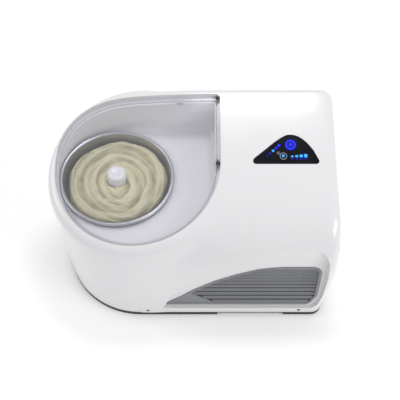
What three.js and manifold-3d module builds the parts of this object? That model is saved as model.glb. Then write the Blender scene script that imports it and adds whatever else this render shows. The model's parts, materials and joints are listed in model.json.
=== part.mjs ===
// Compressor ice cream maker with a clear hinged lid, built as an assembly of separate solids.
// Units are millimetres. +Z is up, +X is to the right, and the front faces -Y.
// The origin is the centre of the footprint at floor level.
import * as THREE from 'three';
import { mergeVertices } from 'three/addons/utils/BufferGeometryUtils.js';
import Module from 'manifold-3d';

const wasm = await Module();
wasm.setup();

// ---------- driving dimensions ----------
const gap = 0.3;
const wall = 3;
const baseZ = 10;
const frontY = -132.5;
const backY = 132.5;
const rightX = 222;
const deckSlope = 0.269;
const deckZ = 218.1;
const deckBend = 0.0004;
const hingeEdgeX = 41;

const tub = { x: -84, topY: 10.5, lowY: -11.5, topRx: 138.9, lowRx: 119, edge: 11 };
const lid = { x: -84, y: 15.5, r: 125, backY: 119, corner: 6, wall: 3, inset: 2.2, seat: 9.3 };
const hinge = { x: 38, drop: 3, r: 3, pinR: 1.4, boreR: 1.5, startY: 5, endY: 113, frontY: 11.5, rearY: 115 };
const bowl = { x: -117, y: 13.7, rimZ: 181, floorZ: 99, rimR: 85, topR: 82, lowR: 74, sheet: 1 };
const well = { floorZ: 172, sheet: 3, seatGap: 1.5 };
const panelPlate = { sink: 2.3, proud: 0.4, gap: 0.4 };
const foot = { r: 11, height: 4.7, places: [[-120, -85], [178, -104], [-120, 85], [178, 104]] };
const screw = { headR: 2.6, shankR: 1.5, z: 16.5 };
const gears = { module: 1.75, pinion: 12, idler: 40, output: 45, width: 9 };
const shaft = { r: 4.5, bottomZ: 60, topZ: 182 };
const fan = { x: 105, y: -50, z: 66, r: 42, hubR: 14, blades: 5 };

const scene = new THREE.Group();

// ---------- materials ----------
function finish(colour, roughness, metalness, opacity = 1) {
  return new THREE.MeshStandardMaterial({
    color: colour, roughness, metalness, opacity, transparent: opacity < 1,
  });
}

const white = finish(0xf4f4f5, 0.18, 0);
const clear = finish(0xdcd9ea, 0.06, 0, 0.3);
const gloss = finish(0x08080a, 0.08, 0);
const black = finish(0x111214, 0.55, 0);
const rubber = finish(0x17171a, 0.85, 0);
const steel = finish(0xb9bcc2, 0.3, 1);
const silver = finish(0x9da1a8, 0.35, 1);
const copper = finish(0xb56d3d, 0.35, 1);
const foam = finish(0xd9cfa8, 0.95, 0);
const nylon = finish(0xe9e7df, 0.5, 0);
const green = finish(0x1f6b3c, 0.6, 0);
const paint = finish(0x1b1c1f, 0.4, 0.2);
const brass = finish(0xb08d4c, 0.35, 1);

// ---------- solids: three.js geometry in, booleans by manifold, geometry out ----------
function signedVolume(geometry) {
  const place = geometry.attributes.position;
  const corner = (i) => new THREE.Vector3().fromBufferAttribute(place, geometry.index.getX(i));
  let total = 0;
  for (let i = 0; i < geometry.index.count; i += 3) {
    total += corner(i).dot(corner(i + 1).cross(corner(i + 2))) / 6;
  }
  return total;
}

// A turned profile may run either way, so a body that comes out inside out has its triangles turned.
function solid(geometry) {
  const bare = geometry.clone();
  bare.deleteAttribute('normal');
  bare.deleteAttribute('uv');
  const merged = mergeVertices(bare, 1e-4);
  const triangles = new Uint32Array(merged.index.array);
  if (signedVolume(merged) < 0) {
    triangles.reverse();
  }
  const mesh = new wasm.Mesh({
    numProp: 3,
    vertProperties: new Float32Array(merged.attributes.position.array),
    triVerts: triangles,
  });
  mesh.merge();
  return new wasm.Manifold(mesh);
}

function geometryOf(body) {
  const mesh = body.getMesh();
  const geometry = new THREE.BufferGeometry();
  geometry.setAttribute('position', new THREE.BufferAttribute(mesh.vertProperties, 3));
  geometry.setIndex(new THREE.BufferAttribute(mesh.triVerts, 1));
  geometry.computeVertexNormals();
  return geometry;
}

function add(name, body, material) {
  const mesh = new THREE.Mesh(geometryOf(body.isBufferGeometry ? solid(body) : body), material);
  mesh.name = name;
  scene.add(mesh);
}

const join = (...bodies) => bodies.reduce((all, body) => all.add(body));
const cut = (body, ...tools) => tools.reduce((left, tool) => left.subtract(tool), body);

// ---------- outlines: lists of [a, b] points, anticlockwise ----------
function shapeOf(points) {
  return new THREE.Shape(points.map(([a, b]) => new THREE.Vector2(a, b)));
}

// Moves every edge of a closed outline outwards by a distance, or inwards if it is negative.
function offset(points, distance) {
  const count = points.length;
  const normal = (p, q) => {
    const length = Math.hypot(q[0] - p[0], q[1] - p[1]);
    return [(q[1] - p[1]) / length, (p[0] - q[0]) / length];
  };
  return points.map((point, i) => {
    const [ax, ay] = normal(points[(i + count - 1) % count], point);
    const [bx, by] = normal(point, points[(i + 1) % count]);
    const scale = distance / (1 + ax * bx + ay * by);
    return [point[0] + (ax + bx) * scale, point[1] + (ay + by) * scale];
  });
}

function arc(cx, cy, r, from, to, steps) {
  return Array.from({ length: steps + 1 }, (_, i) => {
    const angle = THREE.MathUtils.degToRad(from + ((to - from) * i) / steps);
    return [cx + r * Math.cos(angle), cy + r * Math.sin(angle)];
  });
}

function roundedBox(x0, y0, x1, y1, r, steps = 4) {
  return [
    ...arc(x1 - r, y1 - r, r, 0, 90, steps), ...arc(x0 + r, y1 - r, r, 90, 180, steps),
    ...arc(x0 + r, y0 + r, r, 180, 270, steps), ...arc(x1 - r, y0 + r, r, 270, 360, steps),
  ];
}

function bezier(p0, p1, p2, p3, steps) {
  const vector = ([a, b]) => new THREE.Vector2(a, b);
  const curve = new THREE.CubicBezierCurve(vector(p0), vector(p1), vector(p2), vector(p3));
  return curve.getPoints(steps).map((p) => [p.x, p.y]);
}

// ---------- extrusions along each axis ----------
function alongZ(points, z0, z1) {
  const geometry = new THREE.ExtrudeGeometry(shapeOf(points), { depth: z1 - z0, bevelEnabled: false });
  return geometry.translate(0, 0, z0);
}

// An outline of [x, z] points, run from y0 to y1.
function alongY(points, y0, y1) {
  const geometry = new THREE.ExtrudeGeometry(shapeOf(points), { depth: y1 - y0, bevelEnabled: false });
  return geometry.rotateX(Math.PI / 2).translate(0, y1, 0);
}

// An outline of [y, z] points, run from x0 to x1.
function alongX(points, x0, x1) {
  const geometry = new THREE.ExtrudeGeometry(shapeOf(points), { depth: x1 - x0, bevelEnabled: false });
  return geometry.rotateZ(Math.PI / 2).rotateY(Math.PI / 2).translate(x0, 0, 0);
}

function box(x0, y0, z0, x1, y1, z1) {
  const geometry = new THREE.BoxGeometry(x1 - x0, y1 - y0, z1 - z0);
  return geometry.translate((x0 + x1) / 2, (y0 + y1) / 2, (z0 + z1) / 2);
}

function cylinder(x, y, z0, z1, r, sides = 24, topR = r) {
  const geometry = new THREE.CylinderGeometry(topR, r, z1 - z0, sides);
  return geometry.rotateX(Math.PI / 2).translate(x, y, (z0 + z1) / 2);
}

// A cylinder whose axis lies along Y.
function rod(x, z, y0, y1, r, sides = 16) {
  return new THREE.CylinderGeometry(r, r, y1 - y0, sides).translate(x, (y0 + y1) / 2, z);
}

// Turns a closed [radius, z] profile about an upright axis.
function turned(points, x, y, sides = 40) {
  const profile = [...points, points[0]].map(([r, z]) => new THREE.Vector2(r, z));
  return new THREE.LatheGeometry(profile, sides).rotateX(Math.PI / 2).translate(x, y, 0);
}

function tube(points, r, sides = 8, steps = points.length * 6) {
  const path = new THREE.CatmullRomCurve3(points.map((p) => new THREE.Vector3(...p)), false, 'centripetal');
  const section = new THREE.Shape(arc(0, 0, r, 0, 360 - 360 / sides, sides - 1)
    .map(([a, b]) => new THREE.Vector2(a, b)));
  return new THREE.ExtrudeGeometry(section, { steps, extrudePath: path, bevelEnabled: false });
}

// ---------- the sloping top deck ----------
function deckHeight(x, y) {
  const left = Math.max(0, hingeEdgeX - x);
  return deckZ + deckSlope * y - deckBend * left * left;
}

// Everything below the deck, moved up or down by a distance.
function belowDeck(shift) {
  const line = Array.from({ length: 15 }, (_, i) => {
    const x = hingeEdgeX - i * 20;
    return [x, deckHeight(x, 0) + shift];
  });
  const profile = [[-239, -200], [240, -200], [240, deckZ + shift], ...line];
  const geometry = alongY(profile, -150, 150);
  const place = geometry.attributes.position;
  for (let i = 0; i < place.count; i += 1) {
    place.setZ(i, place.getZ(i) + deckSlope * place.getY(i));
  }
  return solid(geometry);
}

// ---------- the round tub on the left, with its rounded shoulder ----------
// A turned blank is mapped onto the tub: radius 1 is the outer wall, and its height is the level.
function tubBody(inset) {
  const levels = [1, 0.985, 0.95, 0.88, 0.78, 0.66, 0.5, 0.3, 0];
  const blank = [[0, 1], [0.5, 1], [0.9, 1], ...levels.map((v) => [1, v]), [0, 0]];
  const profile = blank.map(([r, z]) => new THREE.Vector2(r, z));
  const geometry = new THREE.LatheGeometry(profile, 48).rotateX(Math.PI / 2);
  const place = geometry.attributes.position;
  for (let i = 0; i < place.count; i += 1) {
    const level = place.getZ(i);
    const radius = Math.hypot(place.getX(i), place.getY(i));
    const angle = Math.atan2(place.getY(i), place.getX(i));
    const [x, y, z] = tubPoint(angle, radius, level, inset);
    place.setXYZ(i, x, y, z);
  }
  return solid(geometry);
}

function tubPoint(angle, radius, level, inset) {
  const c = Math.cos(angle);
  const s = Math.sin(angle);
  const depth = 1 - level;
  const fall = Math.min(1, depth / 0.05);
  const edge = tub.edge * (s > 0 ? 1 - 0.5 * s : 1);
  const shoulder = edge * (1 - Math.sqrt(1 - (1 - fall) ** 2));
  const flare = c > 0 && s < 0 ? Math.min(1, depth / (0.42 - 0.2 * c)) ** 0.85 : 0;
  const midY = THREE.MathUtils.lerp(tub.topY, tub.lowY, depth);
  const reach = s < 0 ? midY - frontY - 11 * level ** 3 : backY - midY;
  const rx = THREE.MathUtils.lerp(tub.topRx, tub.lowRx, c < 0 ? depth : 0) - inset - shoulder;
  const ry = reach - inset - shoulder;
  const square = Math.max(Math.abs(c), Math.abs(s));
  const spread = 1 + flare * (Math.min(1.22, 1 / square) - 1);
  const x = tub.x + rx * c * radius * spread;
  const y = midY + ry * s * radius * spread;
  const low = baseZ + (inset > 0 ? -8 : 0);
  const high = deckHeight(x, y) - inset;
  return [x, y, THREE.MathUtils.lerp(low, high, level)];
}

// ---------- the block on the right ----------
const frontRound = bezier([-50, 204.65], [-92, 193.3], [-127, 160], [-129, 100], 10);
const blockSection = [
  [frontY, baseZ], [backY, baseZ], ...arc(backY - 12, 239.6, 12, 0, 75, 5), ...frontRound, [-131, 60],
];
const rightWall = [
  [206, baseZ], [210, 35], [218.4, 100], [rightX, 160], [220.5, 188], [218, 215], [213, 240], [207, 248],
  [200, 252],
];
const blockPlan = roundedBox(tub.x, frontY, rightX, backY, 17, 5);

function blockBody(inset) {
  const section = solid(alongX(offset(blockSection, -inset), tub.x, 240));
  const side = [[tub.x, -20], [206, -20], ...rightWall, [tub.x, 260]];
  const inner = inset > 0 ? side.map(([x, z]) => [x > 0 ? x - inset : x, z]) : side;
  const body = section.intersect(solid(alongY(inner, -150, 150)));
  const plan = body.intersect(solid(alongZ(offset(blockPlan, -inset), -20, 270)));
  if (inset === 0) {
    return plan;
  }
  const floor = roundedBox(tub.x + inset, frontY + inset, 206 - inset, backY - inset, 14, 5);
  return plan.add(solid(alongZ(floor, baseZ - 8, baseZ + inset + 1)));
}

// ---------- the air intake scoop in the front, and the outline of its grille ----------
const scoopBack = [
  [-125, 22], [-126.5, 24], [-121, 50], [-115, 80], [-110.5, 110], [-109.5, 119], [-109.5, 163],
];
const browLine = [
  [-46, 24], [186, 22], [199, 32], [203, 55], [206, 94], [207, 140], [201, 156], [188, 165], [159, 165],
  [130, 163.8], [108, 159.6], [83, 152], [56, 140], [34, 128], [11, 111], [-6, 93], [-28, 66], [-47, 33],
];
const grilleLine = [
  [-42, 24.6], [174.5, 24.6], [188, 30], [197, 46], [199, 74], [199.9, 104], [195, 112.5], [184, 117],
  [134, 116], [101, 110.8], [68, 98.4], [34.6, 82.3], [1, 61.6], [-20, 45], [-45.7, 28],
];

// What lies in front of the scoop's back surface, moved back by a distance.
function inFrontOf(back) {
  const line = scoopBack.map(([y, z]) => [y + back, z]);
  return solid(alongX([[-160, 18], ...line, [-160, 168]], -60, 215));
}

function scoopBody(back) {
  return inFrontOf(back).intersect(solid(alongY(offset(browLine, back), -160, -80)));
}

// ---------- lid outline ----------
// The lid's plan: a circle with a squarer rear left quarter and a straight rear right corner.
// It is grown outwards by a distance, or inwards if the distance is negative.
function lidPlan(grow = 0) {
  const corner = Math.max(1.5, lid.corner + grow);
  const power = 2 / 2.5;
  const rear = arc(0, 0, 1, 92, 176, 12).map(([c, s]) => [
    lid.x - (lid.r + grow) * Math.abs(c) ** power,
    lid.y + (lid.backY - lid.y + grow) * Math.abs(s) ** power,
  ]);
  return [
    ...arc(hingeEdgeX + grow - corner, lid.backY + grow - corner, corner, 0, 90, 4),
    ...rear, ...arc(lid.x, lid.y, lid.r + grow, 180, 360, 28),
  ];
}

// ---------- touch panel outline ----------
function shrunk(points, x, y, part) {
  return points.map(([a, b]) => [x + (a - x) * part, y + (b - y) * part]);
}

const panelLine = [
  ...arc(186.5, 13.5, 4.5, 270, 375, 4),
  ...bezier([183.5, 29], [172, 46], [161, 54.5], [148.5, 54.5], 6),
  ...bezier([144, 54.3], [132, 51], [113, 33], [93, 17.6], 8),
  ...arc(96, 13.5, 4.5, 165, 270, 4),
];

// ---------- housing ----------
function hingeLine(y) {
  return deckHeight(hinge.x, y) - hinge.drop;
}

// A bar along the sloping hinge axis between two stations.
function hingeBar(r, y0, y1, sides) {
  const tilt = Math.atan(deckSlope);
  const length = (y1 - y0) / Math.cos(tilt);
  const bar = new THREE.CylinderGeometry(r, r, length, sides).rotateX(tilt);
  const midY = (y0 + y1) / 2;
  return solid(bar.translate(hinge.x, midY, hingeLine(midY)));
}

// Turns a block drawn about the origin square to the hinge axis, and puts it at a station on it.
function squareToHinge(geometry, y) {
  return solid(geometry.rotateX(Math.atan(deckSlope)).translate(0, y, hingeLine(y)));
}

function hingeLug(y) {
  const lug = squareToHinge(box(hinge.x - 2.6, -3, -12, hinge.x + 3.4, 3, 3), y);
  return lug.subtract(hingeBar(hinge.pinR + gap, y - 8, y + 8, 16));
}

// Space round both hinge lugs, reaching a distance to the left of the hinge line.
function lugRoom(reach) {
  return [hinge.frontY, hinge.rearY].map((y) => (
    squareToHinge(box(hinge.x - reach, -3.6, -13, 60, 3.6, 12), y)
  ));
}

function mainHousing() {
  const outer = tubBody(0).add(blockBody(0)).intersect(belowDeck(0));
  const room = tubBody(wall).add(blockBody(wall)).intersect(belowDeck(-wall));
  const pocket = solid(alongZ(lidPlan(1.6), 100, 290)).subtract(belowDeck(-lid.seat));
  const shelf = solid(alongZ(lidPlan(5), 100, 290)).subtract(belowDeck(-lid.seat - wall));
  const hole = solid(alongZ(lidPlan(-3.6), 100, 290)).subtract(belowDeck(-lid.seat - wall - 2));
  const grilleHole = solid(alongY(offset(grilleLine, 0.3), -150, -90));
  const panelSeat = solid(alongZ(offset(panelLine, panelPlate.gap), 150, 290))
    .subtract(belowDeck(-panelPlate.sink));
  const panelHole = solid(alongZ(shrunk(panelLine, 142, 28, 0.75), 150, 290));
  const ventHole = solid(box(40 - gap, 120, 40 - gap, 180 + gap, 140, 120 + gap));
  const inletHole = solid(box(-29, 120, 33, 29, 140, 63));
  const screwHoles = screwPlaces.map(([x, y]) => solid(rod(x, screw.z, y - 8, y + 8, screw.headR + gap)));
  const shell = cut(outer.subtract(scoopBody(0)), cut(room, scoopBody(wall), shelf));
  return cut(
    shell, pocket, hole, grilleHole, panelSeat, panelHole, ventHole, inletHole, ...screwHoles,
  ).add(hingeLug(hinge.frontY)).add(hingeLug(hinge.rearY));
}

const screwPlaces = [[-72, frontY], [169, frontY], [-60, backY], [169, backY]];

// ---------- base tray, feet and screws ----------
function baseOutline(inset) {
  const right = [
    ...arc(189, frontY + 17, 17 - inset, 270, 360, 5), ...arc(189, backY - 17, 17 - inset, 0, 90, 5),
  ];
  const rear = arc(0, 0, 1, 90, 180, 14).map(([c, s]) => [
    tub.x + (tub.lowRx - inset) * c, tub.lowY + (backY - tub.lowY - inset) * s,
  ]);
  const front = arc(0, 0, 1, 180, 270, 14).slice(1).map(([c, s]) => [
    tub.x + (tub.lowRx - inset) * c, tub.lowY + (tub.lowY - frontY - inset) * s,
  ]);
  return [...right, ...rear, ...front];
}

function baseTray() {
  const plate = solid(alongZ(baseOutline(0), 1.5, baseZ - gap));
  const collar = solid(alongZ(baseOutline(wall + 1), 6, 19));
  const room = solid(alongZ(baseOutline(wall + 3.2), 8, 40));
  const notch = solid(box(39, -140, 0, 145, -100, 7.5));
  const slots = Array.from({ length: 6 }, (_, i) => solid(box(60 + i * 18, 60, 0, 70 + i * 18, 110, 20)));
  const bores = screwPlaces.map(([x, y]) => solid(rod(x, screw.z, y - 9, y + 9, screw.shankR + gap, 12)));
  const seats = foot.places.map(([x, y]) => solid(cylinder(x, y, 0, foot.height + gap, foot.r + 1)));
  return cut(plate.add(collar), room, notch, ...slots, ...bores, ...seats);
}

function housingScrew(x, y) {
  const inward = Math.sign(-y);
  const headEnd = y + inward * 2.6;
  const tipEnd = y + inward * 9;
  const head = rod(x, screw.z, Math.min(y + inward * 0.6, headEnd), Math.max(y + inward * 0.6, headEnd),
    screw.headR);
  const shank = rod(x, screw.z, Math.min(y + inward * 2, tipEnd), Math.max(y + inward * 2, tipEnd),
    screw.shankR, 12);
  const slot = box(x - 2.2, Math.min(y, y + inward * 1.4), screw.z - 0.5, x + 2.2,
    Math.max(y, y + inward * 1.4), screw.z + 0.5);
  return solid(head).add(solid(shank)).subtract(solid(slot));
}

// ---------- lid ----------
// A top plate and a skirt set in from its edge, which leaves the opening as the lid turns.
function clearLid() {
  const plan = (grow) => solid(alongZ(lidPlan(grow), 100, 290));
  const plate = plan(0).intersect(belowDeck(0)).subtract(belowDeck(-lid.wall));
  const skirt = plan(-lid.inset).intersect(belowDeck(0.5 - lid.wall))
    .subtract(belowDeck(gap - lid.seat)).subtract(plan(-lid.inset - lid.wall));
  const rightEdge = solid(box(hinge.x, -60, 150, 60, 130, 280));
  const frontEdge = solid(box(hinge.x - hinge.r - 0.4, -60, 150, 60, hinge.startY, 280));
  const barrel = hingeBar(hinge.r, hinge.startY, hinge.endY, 24);
  const bore = hingeBar(hinge.boreR, -2, 126, 16);
  const rearCorner = squareToHinge(box(hinge.x - 6, 0, -13, 60, 20, 12), hinge.rearY);
  const body = join(cut(join(plate, skirt), rightEdge, frontEdge), barrel);
  return cut(body, ...lugRoom(6), rearCorner, bore);
}

function hingePin(y) {
  return hingeBar(hinge.pinR, y - 6, y + (y > 60 ? 2.3 : 6), 16);
}

// ---------- well tray round the bowls ----------
function wellTray() {
  const block = solid(alongZ(lidPlan(-4.2), well.floorZ - well.sheet, 260))
    .intersect(belowDeck(-lid.seat));
  const recess = alongZ(lidPlan(-7), well.floorZ, 280);
  const place = recess.attributes.position;
  for (let i = 0; i < place.count; i += 1) {
    if (place.getZ(i) < well.floorZ + 1 && place.getX(i) > tub.x) {
      place.setX(i, tub.x + (place.getX(i) - tub.x) * 0.95);
    }
  }
  const mouth = solid(cylinder(bowl.x, bowl.y, 150, 220, bowl.rimR + 1, 40));
  const rimRoom = solid(cylinder(bowl.x, bowl.y, well.floorZ, 220, bowl.rimR + 4, 40));
  return cut(block, solid(recess), mouth, rimRoom, ...lugRoom(4.2));
}

// ---------- bowls ----------
function removableBowl() {
  const { rimZ, floorZ, rimR, topR, lowR, sheet } = bowl;
  return turned([
    [10.5, floorZ], [lowR - 8, floorZ], [lowR - 2, floorZ + 2.5], [lowR, floorZ + 8], [topR, rimZ - 3],
    [rimR - 1.5, rimZ], [rimR + 1.5, rimZ - 0.6], [rimR + 2.6, rimZ - 3], [rimR + 1.8, rimZ - 5],
    [rimR + 1, rimZ - 4.6], [rimR + 1.4, rimZ - 2.8], [rimR, rimZ - 1.8], [topR + sheet, rimZ - 4.4],
    [lowR + sheet, floorZ + 7.6], [lowR - 1.4, floorZ + 1.4], [lowR - 7.6, floorZ - sheet],
    [9.5, floorZ - sheet], [9.5, floorZ + 48], [10.5, floorZ + 49],
  ], bowl.x, bowl.y, 36);
}

function fixedBowl() {
  const { rimZ, floorZ, topR, lowR, sheet, rimR } = bowl;
  const play = sheet + well.seatGap;
  const thick = 1.6;
  const low = floorZ - play - 0.5;
  return turned([
    [7.4, low], [lowR - 7, low], [lowR + play - 1, low + 4], [lowR + play, floorZ + 8],
    [topR + play - 0.8, rimZ - 9], [rimR + 3, rimZ - 7.2], [rimR + 3, rimZ - 8.6], [rimR + 0.2, rimZ - 8.7],
    [topR + play + thick - 1.2, rimZ - 11], [lowR + play + thick, floorZ + 7], [lowR + play, low + 2],
    [lowR - 6, low - thick], [5.9, low - thick], [5.9, low + 22], [7.4, low + 22],
  ], bowl.x, bowl.y, 36);
}

function ring(r0, r1, z0, z1, x, y, sides = 32) {
  return turned([[r1, z0], [r1, z1], [r0, z1], [r0, z0]], x, y, sides);
}

function evaporatorCoil() {
  const turns = 4;
  const points = Array.from({ length: turns * 10 + 1 }, (_, i) => {
    const angle = (i / 10) * Math.PI * 2 + 0.4;
    const z = 106 + (i / 10) * 11;
    const r = bowl.lowR + 10 + (z - 106) * 0.09;
    return [bowl.x + r * Math.cos(angle), bowl.y + r * Math.sin(angle), z];
  });
  return tube(points, 2.6, 6, turns * 20);
}

function bowlInsulation() {
  const body = solid(cylinder(bowl.x, bowl.y, 87, 164, 104, 32)).intersect(tubBody(wall + 1));
  const pocket = turned([
    [0, 93], [bowl.lowR + 3, 93], [bowl.lowR + 14, 100], [bowl.lowR + 19, 168.5], [0, 169],
  ], bowl.x, bowl.y, 32);
  const sleeve = solid(cylinder(bowl.x, bowl.y, 80, 100, 9));
  const pipes = solid(box(-60, -40, 96, 0, -6, 180));
  return cut(body, solid(pocket), sleeve, pipes);
}

// ---------- paddle and its knob ----------
function paddleBlade(side) {
  const reach = bowl.lowR - 3;
  const curve = [
    [13, -3.5], [reach * 0.55, -9], ...arc(0, 0, reach, 0, 24, 5), ...arc(0, 0, reach - 3.4, 24, 3, 5),
    [reach * 0.55, -5], [13, 1],
  ];
  const blade = alongZ(curve, bowl.floorZ + 4, bowl.floorZ + 64);
  const window = box(26, -30, bowl.floorZ + 16, 58, 40, bowl.floorZ + 50);
  const turn = side > 0 ? 60 : 240;
  const place = (geometry) => solid(geometry.rotateZ(THREE.MathUtils.degToRad(turn))
    .translate(bowl.x, bowl.y, 0));
  return place(blade).subtract(place(window));
}

function paddle() {
  const hub = solid(turned([
    [11, bowl.floorZ + 1.5], [15, bowl.floorZ + 1.5], [14, bowl.floorZ + 66], [12.5, bowl.floorZ + 70],
    [shaft.r + 0.4, bowl.floorZ + 70], [shaft.r + 0.4, bowl.floorZ + 55], [11, bowl.floorZ + 52],
  ], bowl.x, bowl.y, 32));
  return join(hub, paddleBlade(1), paddleBlade(-1));
}

function paddleKnob() {
  const low = bowl.floorZ + 70 + gap;
  return turned([
    [shaft.r + 0.4, low], [13, low], [14.6, low + 1.5], [14.4, low + 19], [12.6, low + 21.6],
    [8, low + 22], [0, low + 21], [0, low + 15], [shaft.r + 0.4, low + 15],
  ], bowl.x, bowl.y, 32);
}

// ---------- gear train ----------
const pitchR = (teeth) => (gears.module * teeth) / 2;
const idlerPlace = (() => {
  const reach = pitchR(gears.output) + pitchR(gears.pinion);
  const angle = THREE.MathUtils.degToRad(-20);
  return [bowl.x + reach * Math.cos(angle), bowl.y + reach * Math.sin(angle), angle];
})();
const motorPlace = (() => {
  const reach = pitchR(gears.idler) + pitchR(gears.pinion);
  const angle = THREE.MathUtils.degToRad(60);
  return [idlerPlace[0] + reach * Math.cos(angle), idlerPlace[1] + reach * Math.sin(angle), angle];
})();

// A spur gear with straight-flanked teeth and some backlash; a tooth points along the given angle.
function gearLine(teeth, phase) {
  const pitch = (Math.PI * 2) / teeth;
  const r = pitchR(teeth);
  const tip = r + gears.module * 0.75;
  const root = r - gears.module * 1.15;
  const flank = [[root, -0.30], [tip, -0.11], [tip, 0.11], [root, 0.30]];
  return Array.from({ length: teeth }, (_, i) => flank.map(([radius, part]) => {
    const angle = phase + (i + part) * pitch;
    return [radius * Math.cos(angle), radius * Math.sin(angle)];
  })).flat();
}

function gearBody(teeth, phase, z0, z1, x, y) {
  return solid(alongZ(gearLine(teeth, phase), z0, z1).translate(x, y, 0));
}

// ---------- gearbox, motor and shaft ----------
const gearboxLow = 56;
const gearboxTop = 84;
const gearboxLine = roundedBox(-164, -43, -28, 59, 12, 4);

function gearboxCase() {
  const body = solid(alongZ(gearboxLine, gearboxLow, gearboxTop - 3));
  const room = solid(alongZ(offset(gearboxLine, -2.5), gearboxLow + 3, gearboxTop));
  const output = solid(cylinder(bowl.x, bowl.y, 40, 70, shaft.r + gap));
  const motor = solid(cylinder(motorPlace[0], motorPlace[1], 40, 70, 6));
  const pin = solid(cylinder(idlerPlace[0], idlerPlace[1], 40, 70, 3 + gap, 16));
  return cut(body, room, output, motor, pin);
}

function gearboxCover() {
  const plate = solid(alongZ(gearboxLine, gearboxTop - 3 + gap, gearboxTop));
  const output = solid(cylinder(bowl.x, bowl.y, 70, 100, shaft.r + 1));
  const pin = solid(cylinder(idlerPlace[0], idlerPlace[1], 70, 100, 3 + gap, 16));
  return cut(plate, output, pin);
}

function outputGear() {
  const z = gearboxLow + 4;
  const gear = gearBody(gears.output, idlerPlace[2], z, z + gears.width, bowl.x, bowl.y);
  const boss = solid(cylinder(bowl.x, bowl.y, z, z + 15, 11));
  return cut(gear.add(boss), solid(cylinder(bowl.x, bowl.y, 40, 100, shaft.r + gap)));
}

function idlerGear() {
  const [x, y] = idlerPlace;
  const z = gearboxLow + 4;
  const half = Math.PI / gears.pinion;
  const small = gearBody(gears.pinion, idlerPlace[2] + Math.PI + half, z, z + 11, x, y);
  const large = gearBody(gears.idler, motorPlace[2], z + 10.5, z + 18, x, y);
  return small.add(large).subtract(solid(cylinder(x, y, 40, 100, 3.1, 24)));
}

function motorPinion() {
  const [x, y] = motorPlace;
  const half = Math.PI / gears.pinion;
  const gear = gearBody(gears.pinion, motorPlace[2] + Math.PI + half, gearboxLow + 14, gearboxTop - 5, x, y);
  return gear.add(solid(cylinder(x, y, gearboxLow - 8, gearboxTop - 6, 3, 16)));
}

function gearMotor() {
  const [x, y] = motorPlace;
  const can = turned([
    [0, 14], [26, 14], [31, 18], [31, gearboxLow - 5], [28, gearboxLow - 2], [12, gearboxLow - 2],
    [12, gearboxLow - gap], [4, gearboxLow - gap], [4, gearboxLow - 12], [0, gearboxLow - 12],
  ], x, y, 32);
  return solid(can);
}

// ---------- refrigeration ----------
const compressorAt = [112, 48];

function compressor() {
  const [x, y] = compressorAt;
  const can = solid(turned([
    [0, 24], [44, 24], [53, 32], [55, 66], [57, 67], [57, 70], [55, 71], [53, 118], [44, 134], [24, 142],
    [0, 143],
  ], x, y, 28));
  const plate = solid(alongZ(roundedBox(x - 62, y - 46, x + 62, y + 46, 8), 18, 25));
  const holes = mountPlaces().map(([px, py]) => solid(cylinder(px, py, 10, 30, 4.3, 16)));
  return cut(can.add(plate), ...holes);
}

function mountPlaces() {
  const [x, y] = compressorAt;
  return [[x - 52, y - 37], [x + 52, y - 37], [x - 52, y + 37], [x + 52, y + 37]];
}

function compressorMount(x, y) {
  return turned([
    [0, 8.4], [8, 8.4], [8, 17.6], [4, 17.7], [4, 26], [6.5, 26.2], [5, 29], [0, 29],
  ], x, y, 12);
}

function condenser() {
  const { x, z } = fan;
  const core = solid(box(x - 68, -96, z - 42, x + 68, -76, z + 42));
  const fins = Array.from({ length: 16 }, (_, i) => {
    const at = x - 62 + i * 8;
    return solid(box(at - 2.6, -98, z - 39, at + 2.6, -90, z + 39));
  });
  return cut(core, ...fins);
}

function fanShroud() {
  const { x, z, r } = fan;
  const plate = solid(box(x - 66, -75.5, z - 41, x + 66, -73.5, z + 41));
  const duct = solid(rod(x, z, -75.5, -50, r + 4.5, 32));
  const bore = solid(rod(x, z, -80, -45, r + 2, 32));
  const spokes = [0, 120, 240].map((turn) => solid(
    new THREE.BoxGeometry(4, 4, r + 3).translate(0, 0, (r + 3) / 2)
      .rotateY(THREE.MathUtils.degToRad(turn)).translate(x, -71.5, z),
  ));
  const hub = solid(rod(x, z, -75.5, -69.5, 12, 24));
  return join(cut(plate.add(duct), bore), hub, ...spokes);
}

function fanMotor() {
  const { x, z } = fan;
  return solid(rod(x, z, -69.2, -58, 11, 24)).add(solid(rod(x, z, -58.5, -47, 1.9, 12)));
}

function fanBlades() {
  const { x, z, r, hubR, blades } = fan;
  const hub = solid(rod(x, z, -57.4, -49, hubR, 24)).subtract(solid(rod(x, z, -60, -45, 2.05, 16)));
  const vanes = Array.from({ length: blades }, (_, i) => {
    const blade = new THREE.BoxGeometry(17, 1.6, r - hubR + 2).translate(0, 0, hubR - 1 + (r - hubR) / 2);
    blade.rotateZ(THREE.MathUtils.degToRad(24));
    blade.rotateY((i * Math.PI * 2) / blades);
    return solid(blade.translate(x, -53.4, z));
  });
  return join(hub, ...vanes);
}

function filterDrier() {
  return turned([
    [0, 30], [3, 31], [9, 38], [9, 82], [3, 90], [0, 91],
  ], 8, 96, 20);
}

// ---------- electrics ----------
function boardX(x, y0, z0, y1, z1, parts) {
  const plate = solid(box(x, y0, z0, x + 1.6, y1, z1));
  return join(plate, ...parts.map(([py, pz, w, h, tall]) => solid(
    box(x - tall, py, pz, x + 0.5, py + w, pz + h),
  )));
}

function powerBoard() {
  return boardX(203, 34, 78, 104, 148, [
    [40, 84, 22, 26, 18], [68, 84, 12, 14, 12], [86, 86, 12, 22, 10], [42, 118, 14, 20, 14],
    [64, 112, 30, 8, 6], [66, 128, 24, 12, 8],
  ]);
}

function displayBoard() {
  const line = shrunk(panelLine, 142, 28, 0.68);
  return solid(alongZ(line, 150, 290)).intersect(belowDeck(-6)).subtract(belowDeck(-7.6));
}

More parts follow.
